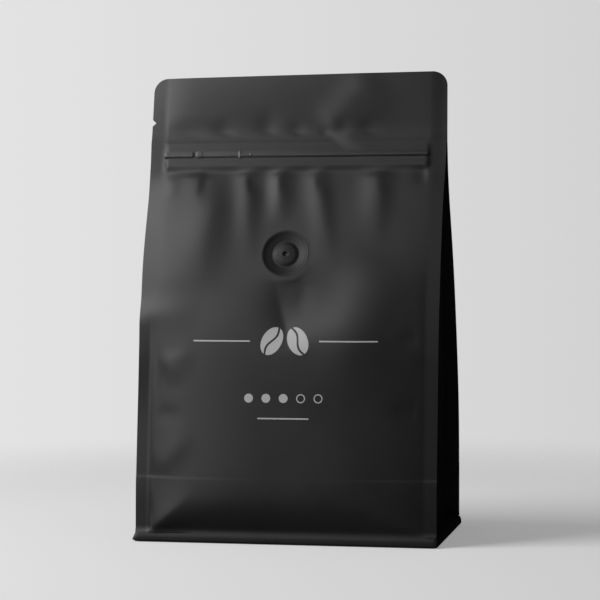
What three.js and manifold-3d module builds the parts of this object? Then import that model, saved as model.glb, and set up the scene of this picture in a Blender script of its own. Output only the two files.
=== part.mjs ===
// Flat-bottom stand-up coffee pouch, 250 g size: black film with four side seals, side gussets folded in
// towards the top, a welted foot, a zip band with a tear strip, and a one-way degassing valve.
// Millimetres, +Z up, +X to the right of someone facing the front, which looks towards -Y.
// The origin is the middle of the base, on the surface that the pouch stands on.
import * as THREE from "three";
import { mergeVertices } from "three/addons/utils/BufferGeometryUtils.js";
import Module from "manifold-3d";

const { clamp, lerp, smoothstep } = THREE.MathUtils;

// Overall size: width and height are the cut film, the depth is from front seals to back seals
const WIDTH = 130;
const HEIGHT = 200;
const BASE_DEPTH = 72;

// The film: four side seals and the flat header, which is front and back pressed together
const SEAL = 5.6;
const SEAL_THICK = 0.8;
const HEADER_THICK = 1.2;
const HEADER_WIDER = 0.45;
const CORNER = 6.2;
const NOTCH_Z = 180.3;
const NOTCH_HEIGHT = 2.8;
const NOTCH_DEPTH = 1.6;

// The side view: full depth at the base, closing in an even curve that runs straight at the zip
const CLOSE_Z = 167;
const CLOSE_POWER = 2.4;
const CLOSE_SOFT = 2;
const CLOSE_EASE = 4;

// How the filled pouch stands: low down it sags back, towards the zip it comes forward, and the header leans
// back, bowed, slightly twisted and a little to the left, with its right corner higher
const SAG = 2.3;
const SAG_Z = 54;
const SAG_HALF = 34;
const FORWARD = 3.4;
const FORWARD_FROM = 100;
const HEADER_FROM = 171;
const HEADER_LEAN = 0.235;
const HEADER_TWIST = 0.04;
const HEADER_DRIFT = 0.4;
const HEADER_BOW = 2.3;
const TOP_SLANT = 1;

// The zip band, stiff and slightly proud, and the tear strip that lies along it
const ZIP_LOW = 160;
const ZIP_HIGH = 173;
const ZIP_RISE = 0.55;
const BAND_LOW = [159.2, 165];
const BAND_HIGH = [167.5, 175];
const STRIP_Z = 165.8;
const STRIP_HEIGHT = 3.2;
const STRIP_THICK = 0.6;
const STRIP_LEFT = -44.8;
const STRIP_RIGHT = 58;
const TAB_LEFT = -58.8;
const TAB_RIGHT = -45.4;
const TAB_EXTRA = 0.06;
const STRIP_GAP = 0.2;
const STRIP_UPPER_EDGE = 0.3;
const STRIP_LOWER_EDGE = 0.15;
const STRIP_LIP = 0.2;

// The swell of front and back over the coffee, and its tuck into the foot; the back swells less
const BELLY = 4.8;
const BELLY_FROM = 66;
const BELLY_POWER = 3.2;
const BACK_SWELL = 0.56;
const TUCK = 11.6;
const TUCK_HEIGHT = 61;
const TUCK_POWER = 2.2;
const HIP_POWER = 5;

// The foot: the welded edge of the base panel, drawn out to a point at the left. The film sweeps out to it.
// Levels from the ground up: how far it stands out in front and behind, at the right and at the left
const FOOT_TOP = 4.3;
const FOOT_CORNER = 1.5;
const FOOT_SWEEP = 0.8;
const SWEEP_TOP = 6.5;
const SWEEP_POWER = 1.7;
const FOOT_LEVELS = [
  { z: 0, face: -0.1, right: -0.6, left: -0.6 },
  { z: 0.4, face: 0.9, right: 0.35, left: 0.65 },
  { z: 1, face: 1.15, right: 0.85, left: 1.6 },
  { z: 2.4, face: 1.18, right: 0.83, left: 0.9 },
  { z: 3.2, face: 1.07, right: 0.65, left: 0.55 },
  { z: 4, face: 0.86, right: 0.2, left: 0.2 },
];

// The side gussets: pushed out a little below, drawn in at the middle crease above
const GUSSET_IN = 30;
const GUSSET_FROM = 40;
const GUSSET_MOUTH = 3;
const GUSSET_OUT = 2;

// The crease across the pouch above its foot, the soft shoulder at the left, and the seals: both are bent
// back a little, the left one above the shoulder, where it also reaches further out. Below it bends forward
const CREASE_Z = 27.9;
const CREASE_HALF = 0.7;
const CREASE_RISE = 0.25;
const CREASE_FROM = 10;
const SHOULDER_Z = 97;
const SHOULDER_HALF = 6;
const SHOULDER_RISE = 0.75;
const SHOULDER_OUTER = -58;
const SHOULDER_INNER = -36;
const LEFT_TURN = 1.6;
const LEFT_TURN_TOP = [146, 160];
const LEFT_FORWARD = 0.5;
const LEFT_FORWARD_Z = 73;
const LEFT_FORWARD_HALF = 14;
const RIGHT_TURN = 0.6;
const RIGHT_TURN_TOP = [148, 173];
const LEFT_WIDER = 0.55;
const LEFT_WIDER_Z = 118;
const LEFT_WIDER_HALF = 20;
const LEFT_NARROWER = 0.25;
const LEFT_NARROWER_HALF = 16;
const LEFT_WIDENS = [155, 178];
const RIGHT_WIDENS = [140, 172];

// The swell of a panel beside its seals, above the shoulder and in the header; little of it at the right
const EDGE_SWELL = 0.75;
const EDGE_WIDTH = 10;
const EDGE_LOW = [95, 115];
const EDGE_HIGH = [155, 161];
const EDGE_HEADER = [173, 184];
const EDGE_HEADER_SHARE = 0.8;
const EDGE_RIGHT_SHARE = 0.2;
const EDGE_MIDDLE = 30;

// Folds of a panel, each a straight crest between two places (x, z): half widths to its left and right,
// height (a dent is below zero), and the shares of its length over which it starts and ends. A power below
// two gives it a sharper crest
const PLEATS = [
  { from: [-43.7, 162.5], to: [-44.3, 143], left: 5, right: 2.5, rise: 0.4, start: 0.2, end: 0.8 },
  { from: [-37, 162.5], to: [-41, 104], left: 11.5, right: 8.5, rise: 1.5, start: 0.4, end: 0.55 },
  { from: [-20.4, 162.5], to: [-18, 116], left: 5.7, right: 4.2, rise: 1, start: 0.13, end: 0.8 },
  { from: [-6.5, 162.5], to: [-4.8, 132], left: 4.5, right: 4.4, rise: 1.15, start: 0.21, end: 0.8 },
  { from: [9.4, 162.5], to: [19.3, 112], left: 5.4, right: 3.9, rise: 0.8, start: 0.11, end: 0.8 },
  { from: [37.7, 162.5], to: [36.9, 122], left: 7.3, right: 3.6, rise: 1, start: 0.15, end: 0.8 },
];
const HEADER_FOLDS = [
  { from: [13, 174], to: [37, 202], left: 8.5, right: 13, rise: 1, start: 0.2, end: 0.35 },
  { from: [-50.5, 173], to: [-48, 184], left: 6, right: 6, rise: -0.15, start: 0.3, end: 0.7 },
  { from: [-33.5, 173], to: [-32, 184], left: 4.5, right: 4.5, rise: -0.28, start: 0.3, end: 0.7 },
  { from: [-14.3, 173], to: [-12.5, 189], left: 4.5, right: 4.5, rise: -0.36, start: 0.25, end: 0.75 },
  { from: [-0.8, 173], to: [0.5, 182.5], left: 3.8, right: 3.8, rise: -0.28, start: 0.3, end: 0.7 },
  { from: [19.6, 173], to: [21, 184], left: 3.8, right: 3.8, rise: -0.42, start: 0.3, end: 0.7 },
  { from: [30.5, 173], to: [32, 183], left: 4.8, right: 4.5, rise: -0.28, start: 0.3, end: 0.7 },
];
const SIDE_FOLDS = [
  { from: [41.7, 126], to: [21.7, 62], left: 13.9, right: 13.3, rise: 1.5, start: 0.3, end: 0.5 },
  { from: [-55.1, 74.7], to: [-37.8, 79.5], left: 3.8, right: 3.8, rise: 0.5, start: 0.25, end: 0.6 },
  { from: [-56.9, 54.5], to: [-42, 54], left: 3.4, right: 3.4, rise: -0.34, start: 0.25, end: 0.6 },
  { from: [-59.4, 28.5], to: [-38.6, 50], left: 6.5, right: 5.5, rise: 0.65, start: 0.1, end: 0.6 },
  { from: [-60, 4], to: [-36, 24], left: 6.5, right: 5.5, rise: 1.3, start: 0.05, end: 0.75, power: 1.5 },
  { from: [57, 88], to: [46, 84], left: 3.6, right: 3.6, rise: -0.2, start: 0.2, end: 0.6 },
  { from: [57, 56], to: [45, 58], left: 3.6, right: 3.6, rise: -0.2, start: 0.2, end: 0.6 },
];
const VALVE_FOLDS = [
  { from: [-7, 115], to: [5, 80], left: 6.3, right: 18, rise: -2.3, start: 0.5, end: 0.45, power: 1.25 },
];
const BACK_FOLDS = [...PLEATS, ...HEADER_FOLDS, ...SIDE_FOLDS];
const FRONT_FOLDS = [...BACK_FOLDS, ...VALVE_FOLDS];
const FOLD_EDGE = 3;
const PLEATS_LOW = 120;
const BACK_SOFTER = 0.7;

// The valve, set into a round pocket of the front panel
const VALVE_X = -1.8;
const VALVE_Z = 123;
const VALVE_RADIUS = 10;
const VALVE_GAP = 0.3;
const VALVE_BACK = 2.2;
const VALVE_CALM = 14;
const RIM_WIDTH = 0.4;
const RIM_ROUND = 0.15;
const RIM_PROUD = 0.1;
const WALL_FOOT = 8.6;
const DISH_DEEP = 0.6;
const DISH_FALL = 0.8;
const CAP_FOOT = 5.7;
const CAP_TOP = 4.3;
const CAP_DEEP = 0.75;
const CAP_DOME = 0.3;
const VENT_RADIUS = 0.85;
const VENT_LIP = 0.6;

// How finely the faces are split
const FRONT_COLUMNS = 44;
const BACK_COLUMNS = 28;
const GUSSET_COLUMNS = 8;
const ROUND_STEPS = 48;

const HALF_WIDTH = WIDTH / 2;
const ROOT_X = HALF_WIDTH - SEAL;

function ridge(distance, half) {
  return Math.exp(-((distance / half) ** 2));
}

// Half the depth at the side seals: an even curve, straight at the stiff zip, and eased where the two meet
function closingCurve(z) {
  const fill = (BASE_DEPTH / 2) * (1 - (Math.max(0, z) / CLOSE_Z) ** CLOSE_POWER);
  return HEADER_THICK / 2 + (fill + Math.hypot(fill, CLOSE_SOFT)) / 2;
}

function straightAtZip(z) {
  if (z < ZIP_LOW || z > ZIP_HIGH) {
    return closingCurve(z);
  }
  const share = (z - ZIP_LOW) / (ZIP_HIGH - ZIP_LOW);
  return lerp(closingCurve(ZIP_LOW), closingCurve(ZIP_HIGH), share);
}

function sealDepth(z) {
  const shares = [-1, -0.5, 0, 0.5, 1];
  return shares.reduce((sum, share) => sum + straightAtZip(z + CLOSE_EASE * share), 0) / shares.length;
}

// How far back the middle of the pouch stands at a place
function stance(x, z) {
  const sag = SAG * ridge(z - SAG_Z, SAG_HALF);
  const forward = FORWARD * smoothstep(z, FORWARD_FROM, HEADER_FROM);
  const bow = HEADER_BOW * (1 - (x / HALF_WIDTH) ** 2) * smoothstep(z, HEADER_FROM, HEIGHT);
  const lean = Math.max(0, z - HEADER_FROM) * (HEADER_LEAN - (HEADER_TWIST * x) / HALF_WIDTH);
  const edge = smoothstep(x, ROOT_X - 1, HALF_WIDTH);
  const rightSeal = RIGHT_TURN * edge * smoothstep(z, ...RIGHT_TURN_TOP);
  return sag - forward - bow + lean + rightSeal;
}

// How far a side seal reaches out: rounded at the top corners, notched for tearing on the left
function sealReach(side, z) {
  const up = Math.max(0, z - (HEIGHT - CORNER));
  const rounded = HALF_WIDTH - CORNER + Math.sqrt(Math.max(0, CORNER ** 2 - up ** 2));
  const notch = NOTCH_DEPTH * Math.max(0, 1 - Math.abs(z - NOTCH_Z) / (NOTCH_HEIGHT / 2));
  const widens = smoothstep(z, ...(side < 0 ? LEFT_WIDENS : RIGHT_WIDENS));
  const drift = side * HEADER_DRIFT * smoothstep(z, HEADER_FROM, HEIGHT);
  const wide = rounded + HEADER_WIDER * widens - drift;
  if (side > 0) {
    return wide;
  }
  const wider = LEFT_WIDER * ridge(z - LEFT_WIDER_Z, LEFT_WIDER_HALF);
  const narrower = LEFT_NARROWER * ridge(z - LEFT_FORWARD_Z, LEFT_NARROWER_HALF);
  return wide - notch + wider - narrower;
}

// How far the free edge of a side seal is bent back
function sealTurn(side, z) {
  if (side > 0) {
    return RIGHT_TURN * (1 - smoothstep(z, ...RIGHT_TURN_TOP));
  }
  const above = smoothstep(z, SHOULDER_Z - 1, SHOULDER_Z + 2) * (1 - smoothstep(z, ...LEFT_TURN_TOP));
  return LEFT_TURN * above - LEFT_FORWARD * ridge(z - LEFT_FORWARD_Z, LEFT_FORWARD_HALF);
}

// The swell meets the tuck in a hip that runs up from each bottom corner
function belly(x, z) {
  const above = 1 - smoothstep(z, BELLY_FROM, ZIP_LOW);
  const across = BELLY * above * (1 - Math.min(1, Math.abs(x / ROOT_X)) ** BELLY_POWER);
  const height = clamp((z - FOOT_TOP) / TUCK_HEIGHT, 0, 1);
  const tucked = TUCK * (1 - (1 - height) ** TUCK_POWER);
  if (across <= 0 || tucked <= 0) {
    return 0;
  }
  return (across * tucked) / (across ** HIP_POWER + tucked ** HIP_POWER) ** (1 / HIP_POWER);
}

function edgeSwell(x, z) {
  const inward = (ROOT_X - Math.abs(x)) / EDGE_WIDTH;
  const below = smoothstep(z, ...EDGE_LOW) * (1 - smoothstep(z, ...EDGE_HIGH));
  const above = EDGE_HEADER_SHARE * smoothstep(z, ...EDGE_HEADER);
  const share = lerp(1, EDGE_RIGHT_SHARE, smoothstep(x, -EDGE_MIDDLE, EDGE_MIDDLE));
  return EDGE_SWELL * inward * Math.exp(1 - inward) * share * (below + above);
}

// The film sweeps out to the foot, stands a little proud below the crease, and has a shoulder at the left
function crease(x, z) {
  const sweep = FOOT_SWEEP * clamp((SWEEP_TOP - z) / (SWEEP_TOP - FOOT_TOP), 0, 1) ** SWEEP_POWER;
  const outer = lerp(0.08, 1, (x / HALF_WIDTH) ** 2);
  const top = 1 - smoothstep(z, CREASE_Z - CREASE_HALF, CREASE_Z + CREASE_HALF);
  const below = top * smoothstep(z, CREASE_FROM, CREASE_Z - CREASE_HALF);
  const left = 1 - smoothstep(x, SHOULDER_OUTER, SHOULDER_INNER);
  const shoulder = SHOULDER_RISE * ridge(z - SHOULDER_Z, SHOULDER_HALF) * left;
  return sweep + CREASE_RISE * outer * below + shoulder;
}

function foldHeight(x, z, { from, to, left, right, rise, start, end, power = 2 }) {
  const runX = to[0] - from[0];
  const runZ = to[1] - from[1];
  const length = Math.hypot(runX, runZ);
  const along = ((x - from[0]) * runX + (z - from[1]) * runZ) / length ** 2;
  const aside = (((x - from[0]) * runZ - (z - from[1]) * runX) / length) * Math.sign(runZ);
  const fade = smoothstep(along, 0, start) * (1 - smoothstep(along, 1 - end, 1));
  return rise * fade * Math.exp(-(Math.abs(aside / (aside < 0 ? left : right)) ** power));
}

// The folds of a panel and its raised zip band, fading out at the seals
function relief(x, z, folds) {
  const inside = smoothstep(ROOT_X - Math.abs(x), 0, FOLD_EDGE);
  const zip = ZIP_RISE * smoothstep(z, ...BAND_LOW) * (1 - smoothstep(z, ...BAND_HIGH));
  return inside * folds.reduce((sum, fold) => sum + foldHeight(x, z, fold), zip);
}

// The front panel lies calm around the stiff valve; the back has the same folds turned about, but softer
function frontDepth(x, z) {
  const calm = smoothstep(Math.hypot(x - VALVE_X, z - VALVE_Z), VALVE_RADIUS, VALVE_CALM);
  return sealDepth(z) + belly(x, z) + edgeSwell(x, z) + crease(x, z) + relief(x, z, FRONT_FOLDS) * calm;
}

function backDepth(x, z) {
  const swell = BACK_SWELL * belly(x, z) + edgeSwell(-x, z);
  return sealDepth(z) + swell + crease(-x, z) + BACK_SOFTER * relief(-x, z, BACK_FOLDS);
}

// How far the middle crease of a gusset is drawn in from the seals' root
function gussetFold(z) {
  if (z > ZIP_LOW) {
    return lerp(GUSSET_IN, GUSSET_MOUTH, (z - ZIP_LOW) / (ZIP_HIGH - ZIP_LOW));
  }
  return GUSSET_IN * smoothstep(z, GUSSET_FROM, ZIP_LOW);
}

function gussetSwell(z) {
  return GUSSET_OUT * smoothstep(z, FOOT_TOP, GUSSET_FROM) * (1 - smoothstep(z, GUSSET_FROM, ZIP_LOW));
}

const columnX = (column, columns) => lerp(-ROOT_X, ROOT_X, column / columns);
const point = (x, y, z) => new THREE.Vector3(x, y, z);

// One side of a level, from the front panel's edge to the back panel's edge: seal, gusset, seal
function sideStations(side, z) {
  const depth = sealDepth(z) + crease(side * HALF_WIDTH, z);
  const reach = sealReach(side, z);
  const mouth = depth - SEAL_THICK;
  const turn = sealTurn(side, z);
  const stations = [point(side * reach, turn - depth, z)];
  for (let step = 0; step <= GUSSET_COLUMNS + 2; step += 1) {
    const isTip = step === 0 || step === GUSSET_COLUMNS + 2;
    const across = clamp((2 * (step - 1)) / GUSSET_COLUMNS - 1, -1, 1);
    const drawn = gussetFold(z) * (1 - Math.abs(across)) - gussetSwell(z) * (1 - across ** 2);
    const x = isTip ? reach : ROOT_X - drawn;
    const y = across * (isTip ? mouth - turn : mouth);
    const shut = z > ZIP_HIGH;
    stations.push(shut ? point(side * reach, 0, z) : point(side * x, y, z));
  }
  stations.push(point(side * reach, depth - turn, z));
  return stations;
}

// One side of the foot, with its corners cut off
function footSide(side, z, depth, out) {
  const reach = HALF_WIDTH + out;
  const stations = [point(side * (reach - FOOT_CORNER), -depth, z)];
  for (let step = 0; step <= GUSSET_COLUMNS + 2; step += 1) {
    const across = (2 * step) / (GUSSET_COLUMNS + 2) - 1;
    stations.push(point(side * reach, across * (depth - FOOT_CORNER), z));
  }
  stations.push(point(side * (reach - FOOT_CORNER), depth, z));
  return stations;
}

// A point of the upright pouch moved to where the filled pouch stands
function settled({ x, y, z }) {
  const slant = TOP_SLANT * smoothstep(z, ZIP_HIGH, HEIGHT) * (x / WIDTH + 0.5);
  return point(x, y + stance(x, z), z + slant);
}

// A level of the pouch as a closed ring of points, anticlockwise from above
function ring(front, back, rightSide, leftSide, z) {
  const points = [];
  for (let column = 0; column <= FRONT_COLUMNS; column += 1) {
    const x = columnX(column, FRONT_COLUMNS);
    points.push(point(x, -front(x, z), z));
  }
  points.push(...rightSide);
  for (let column = BACK_COLUMNS; column >= 0; column -= 1) {
    const x = columnX(column, BACK_COLUMNS);
    points.push(point(x, back(x, z), z));
  }
  points.push(...leftSide.reverse());
  return points.map(settled);
}

function bodyRing(z) {
  return ring(frontDepth, backDepth, sideStations(1, z), sideStations(-1, z), z);
}

function footRing({ z, face, right, left }) {
  const depth = sealDepth(0) + face;
  const flat = () => depth;
  return ring(flat, flat, footSide(1, z, depth, right), footSide(-1, z, depth, left), z);
}

// Heights of the levels: close together at the foot, the crease, the zip, the notch and the round corners
function levelHeights() {
  const between = (from, to, steps) => Array.from({ length: steps }, (_, i) => lerp(from, to, i / steps));
  const cornerSteps = 5;
  const corner = Array.from({ length: cornerSteps + 1 }, (_, i) => {
    return HEIGHT - CORNER + CORNER * Math.sin((i / cornerSteps) * (Math.PI / 2));
  });
  return [
    ...between(FOOT_TOP, SWEEP_TOP, 3),
    ...between(SWEEP_TOP, CREASE_Z - CREASE_HALF, 5),
    ...between(CREASE_Z - CREASE_HALF, CREASE_Z + CREASE_HALF, 1),
    ...between(CREASE_Z + CREASE_HALF, SHOULDER_Z - 1, 8),
    ...between(SHOULDER_Z - 1, SHOULDER_Z + 2, 1),
    ...between(SHOULDER_Z + 2, PLEATS_LOW, 4),
    ...between(PLEATS_LOW, ZIP_LOW, 10),
    ...between(ZIP_LOW, ZIP_HIGH, 5),
    ...between(ZIP_HIGH, NOTCH_Z - NOTCH_HEIGHT / 2, 2),
    ...between(NOTCH_Z - NOTCH_HEIGHT / 2, NOTCH_Z + NOTCH_HEIGHT / 2, 2),
    ...between(NOTCH_Z + NOTCH_HEIGHT / 2, HEIGHT - CORNER, 3),
    ...corner,
  ];
}

// The narrow top edge is filled from the front row to the back row, both from left to right
function stitchRows(near, far, triangle) {
  let i = 0;
  let j = 0;
  while (i + 1 < near.length || j + 1 < far.length) {
    const nearNext = i + 1 < near.length ? near[i + 1].x : Infinity;
    const farNext = j + 1 < far.length ? far[j + 1].x : Infinity;
    if (nearNext <= farNext) {
      triangle(near[i], near[i + 1], far[j]);
      i += 1;
    } else {
      triangle(near[i], far[j + 1], far[j]);
      j += 1;
    }
  }
}

// A closed surface through rings of equal length, with the base shut by a fan and the top edge stitched
function loftRings(rings) {
  const positions = [];
  const triangle = (a, b, c) => {
    if (a.equals(b) || b.equals(c) || c.equals(a)) {
      return;
    }
    for (const corner of [a, b, c]) {
      positions.push(corner.x, corner.y, corner.z);
    }
  };
  const count = rings[0].length;
  for (let level = 0; level + 1 < rings.length; level += 1) {
    const lower = rings[level];
    const upper = rings[level + 1];
    for (let i = 0; i < count; i += 1) {
      const next = (i + 1) % count;
      triangle(lower[i], lower[next], upper[next]);
      triangle(lower[i], upper[next], upper[i]);
    }
  }
  const first = rings[0];
  const middle = point(0, 0, first[0].z);
  for (let i = 0; i < count; i += 1) {
    triangle(middle, first[(i + 1) % count], first[i]);
  }
  const last = rings[rings.length - 1];
  const front = FRONT_COLUMNS + 1;
  const back = front + GUSSET_COLUMNS + 5;
  const left = back + BACK_COLUMNS + 1;
  const near = [last[count - 2], last[count - 1], ...last.slice(0, front + 2)];
  const far = [last[left + 1], ...last.slice(back - 1, left + 1).reverse(), last[back - 2]];
  stitchRows(near, far, triangle);
  const geometry = new THREE.BufferGeometry();
  geometry.setAttribute("position", new THREE.Float32BufferAttribute(positions, 3));
  return geometry;
}

// The outward direction of the front panel at the valve, and the turn from +Y to it
function valveFrame() {
  const step = 4;
  const face = (x, z) => frontDepth(x, z) - stance(x, z);
  const slopeX = (face(VALVE_X + step, VALVE_Z) - face(VALVE_X - step, VALVE_Z)) / (2 * step);
  const slopeZ = (face(VALVE_X, VALVE_Z + step) - face(VALVE_X, VALVE_Z - step)) / (2 * step);
  const out = point(-slopeX, -1, -slopeZ).normalize();
  return {
    place: point(VALVE_X, -face(VALVE_X, VALVE_Z), VALVE_Z),
    turn: new THREE.Quaternion().setFromUnitVectors(point(0, 1, 0), out),
  };
}

const wasm = await Module();
wasm.setup();

function toManifold(geometry) {
  const bare = geometry.clone();
  bare.deleteAttribute("normal");
  bare.deleteAttribute("uv");
  const merged = mergeVertices(bare);
  const vertProperties = new Float32Array(merged.attributes.position.array);
  const triVerts = new Uint32Array(merged.index.array);
  return new wasm.Manifold(new wasm.Mesh({ numProp: 3, vertProperties, triVerts }));
}

function toGeometry(solid) {
  const { vertProperties, triVerts } = solid.getMesh();
  const geometry = new THREE.BufferGeometry();
  geometry.setAttribute("position", new THREE.BufferAttribute(vertProperties, 3));
  geometry.setIndex(new THREE.BufferAttribute(triVerts, 1));
  return geometry;
}

// The pouch: one closed film body, with the valve's pocket sunk in its front
function pouchGeometry() {
  const rings = [...FOOT_LEVELS.map(footRing), ...levelHeights().map(bodyRing)];
  const clear = 3;
  const depth = VALVE_BACK + VALVE_GAP;
  const { place, turn } = valveFrame();
  const radius = VALVE_RADIUS + VALVE_GAP;
  const pocket = new THREE.CylinderGeometry(radius, radius, depth + clear, ROUND_STEPS);
  pocket.translate(0, (clear - depth) / 2, 0);
  pocket.applyQuaternion(turn);
  pocket.translate(place.x, place.y, place.z);
  return toGeometry(toManifold(loftRings(rings)).subtract(toManifold(pocket)));
}

// The valve: a cup with a rolled rim, a dish that falls inwards, and a domed cap with the vent hole in it
function valveGeometry() {
  const floor = -DISH_DEEP - DISH_FALL;
  const profile = [
    [0, -VALVE_BACK],
    [VALVE_RADIUS, -VALVE_BACK],
    [VALVE_RADIUS, RIM_PROUD - RIM_ROUND],
    [VALVE_RADIUS - RIM_ROUND, RIM_PROUD],
    [VALVE_RADIUS - RIM_WIDTH, RIM_PROUD],
    [WALL_FOOT, -DISH_DEEP],
    [CAP_FOOT, floor],
    [CAP_TOP, -CAP_DEEP],
    [VENT_RADIUS + VENT_LIP, CAP_DOME - CAP_DEEP],
    [VENT_RADIUS, CAP_DOME - CAP_DEEP],
    [VENT_RADIUS, floor],
    [0, floor],
  ];
  return new THREE.LatheGeometry(profile.map(([r, h]) => new THREE.Vector2(r, h)), ROUND_STEPS);
}

// A length of the tear strip: a low wedge, thickest along its lower lip, lying on the zip band
function stripGeometry(left, right, extra) {
  const thick = STRIP_THICK + extra;
  const outline = new THREE.Shape();
  outline.moveTo(-STRIP_HEIGHT / 2, 0);
  outline.lineTo(STRIP_HEIGHT / 2, 0);
  outline.lineTo(STRIP_HEIGHT / 2, thick * STRIP_UPPER_EDGE);
  outline.quadraticCurveTo(0, thick, -STRIP_HEIGHT * STRIP_LIP, thick);
  outline.quadraticCurveTo(-STRIP_HEIGHT / 2, thick, -STRIP_HEIGHT / 2, thick * STRIP_LOWER_EDGE);
  outline.closePath();
  return new THREE.ExtrudeGeometry(outline, { depth: right - left, bevelEnabled: false, curveSegments: 5 });
}

function filmMaterial() {
  return new THREE.MeshStandardMaterial({ color: 0x1b1b1d, roughness: 0.5, metalness: 0 });
}

function valveMaterial() {
  return new THREE.MeshStandardMaterial({ color: 0x1f1f21, roughness: 0.42, metalness: 0 });
}

function stripMaterial() {
  return new THREE.MeshStandardMaterial({ color: 0x222224, roughness: 0.45, metalness: 0 });
}

const pouch = new THREE.Mesh(pouchGeometry(), filmMaterial());
pouch.name = "pouch";

const valve = new THREE.Mesh(valveGeometry(), valveMaterial());
valve.name = "degassing_valve";
const valveSeat = valveFrame();
valve.position.copy(valveSeat.place);
valve.quaternion.copy(valveSeat.turn);

// The strip and its pull tab lie on the zip band, leaning back with it
const zipBand = new THREE.Group();
const zipFace = (z) => stance(0, z) - sealDepth(z);
const bandLean = Math.atan2(zipFace(STRIP_Z + 2) - zipFace(STRIP_Z - 2), 4);
zipBand.position.set(0, zipFace(STRIP_Z) - ZIP_RISE, STRIP_Z);
zipBand.rotation.x = -bandLean;

const stripAxes = new THREE.Matrix4().makeBasis(point(0, 0, 1), point(0, -1, 0), point(1, 0, 0));

function stripPiece(name, left, right, extra) {
  const piece = new THREE.Mesh(stripGeometry(left, right, extra), stripMaterial());
  piece.name = name;
  piece.position.set(left, -STRIP_GAP, 0);
  piece.quaternion.setFromRotationMatrix(stripAxes);
  zipBand.add(piece);
}

stripPiece("tear_strip", STRIP_LEFT, STRIP_RIGHT, 0);
stripPiece("pull_tab", TAB_LEFT, TAB_RIGHT, TAB_EXTRA);

const group = new THREE.Group();
group.add(pouch, valve, zipBand);

export default group;
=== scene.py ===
import math

import bpy
import numpy as np
from mathutils import Matrix, Vector


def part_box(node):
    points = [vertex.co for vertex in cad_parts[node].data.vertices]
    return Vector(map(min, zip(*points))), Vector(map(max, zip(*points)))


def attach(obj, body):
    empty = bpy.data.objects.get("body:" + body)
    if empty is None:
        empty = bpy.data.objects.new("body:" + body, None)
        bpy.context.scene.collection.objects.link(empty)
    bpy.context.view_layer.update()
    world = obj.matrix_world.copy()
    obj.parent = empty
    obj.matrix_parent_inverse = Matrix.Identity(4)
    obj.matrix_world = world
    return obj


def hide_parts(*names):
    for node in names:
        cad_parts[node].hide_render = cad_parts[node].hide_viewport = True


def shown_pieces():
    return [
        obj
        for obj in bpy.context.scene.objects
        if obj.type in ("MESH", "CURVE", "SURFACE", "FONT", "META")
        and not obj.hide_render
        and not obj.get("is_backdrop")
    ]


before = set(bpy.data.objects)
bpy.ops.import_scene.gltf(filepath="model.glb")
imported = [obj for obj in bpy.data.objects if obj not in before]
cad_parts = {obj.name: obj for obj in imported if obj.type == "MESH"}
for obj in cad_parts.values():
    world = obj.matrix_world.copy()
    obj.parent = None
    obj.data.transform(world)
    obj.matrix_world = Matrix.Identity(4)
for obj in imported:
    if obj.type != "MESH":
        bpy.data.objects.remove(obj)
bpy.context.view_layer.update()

# The film body. Black laminated film, cut and welded on four upright edges into front, back and two side
# gussets, with a base panel welded in below. It is filled, so its panels swell and its film is drawn into
# folds under the flat zip. Sizes are in millimetres, as on the solids, and the mesh is made in metres.
MM = 0.001

WIDTH = 130.0
HEIGHT = 200.0
BASE_DEPTH = 72.0
SEAL = 5.6
SEAL_THICK = 0.7
HEADER_THICK = 0.9
HEADER_FROM = 171.0
ZIP_LOW = 160.0
ZIP_HIGH = 173.0
FOOT_TOP = 4.3
HALF_WIDTH = WIDTH / 2
ROOT_X = HALF_WIDTH - SEAL


def smooth(value, low, high):
    """A soft rise from nought at low to one at high."""
    share = np.clip((value - low) / (high - low), 0.0, 1.0)
    return share * share * (3.0 - 2.0 * share)


def mix(low, high, share):
    return low + (high - low) * share


def bump(value, middle, half):
    """A bell of height one about its middle."""
    return np.exp(-(((value - middle) / half) ** 2))


# The pouch closes upwards, with a straight run at the zip whose ends are eased.
CLOSE_Z = 167.0
CLOSE_POWER = 2.4
CLOSE_SOFT = 2.0
SEAL_EASE = 4.0
EASE_SHARES = (-1, -0.5, 0, 0.5, 1)


def closing_curve(z):
    fill = BASE_DEPTH / 2 * (1 - (np.maximum(z, 0) / CLOSE_Z) ** CLOSE_POWER)
    return HEADER_THICK / 2 + (fill + np.hypot(fill, CLOSE_SOFT)) / 2


def zip_straight(z):
    band = mix(closing_curve(ZIP_LOW), closing_curve(ZIP_HIGH), (z - ZIP_LOW) / (ZIP_HIGH - ZIP_LOW))
    return np.where((z > ZIP_LOW) & (z < ZIP_HIGH), band, closing_curve(z))


def seal_depth(z):
    """Half the pouch's depth at its seals."""
    return sum(zip_straight(z + SEAL_EASE * share) for share in EASE_SHARES) / len(EASE_SHARES)


# The free edges of the side seals are round at the top corners, and the left one has a tear notch.
CORNER = 6.2
NOTCH_Z = 180.3
NOTCH_HEIGHT = 2.8
NOTCH_DEPTH = 1.6
HEADER_WIDER = 0.45
HEADER_DRIFT = 0.4
RIGHT_WIDENS = (140.0, 172.0)
LEFT_WIDENS = (155.0, 178.0)
LEFT_WIDER = 0.55
LEFT_WIDER_Z = 118.0
LEFT_WIDER_HALF = 20.0
LEFT_NARROWER = 0.25
LEFT_NARROWER_Z = 73.0
LEFT_NARROWER_HALF = 16.0


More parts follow.
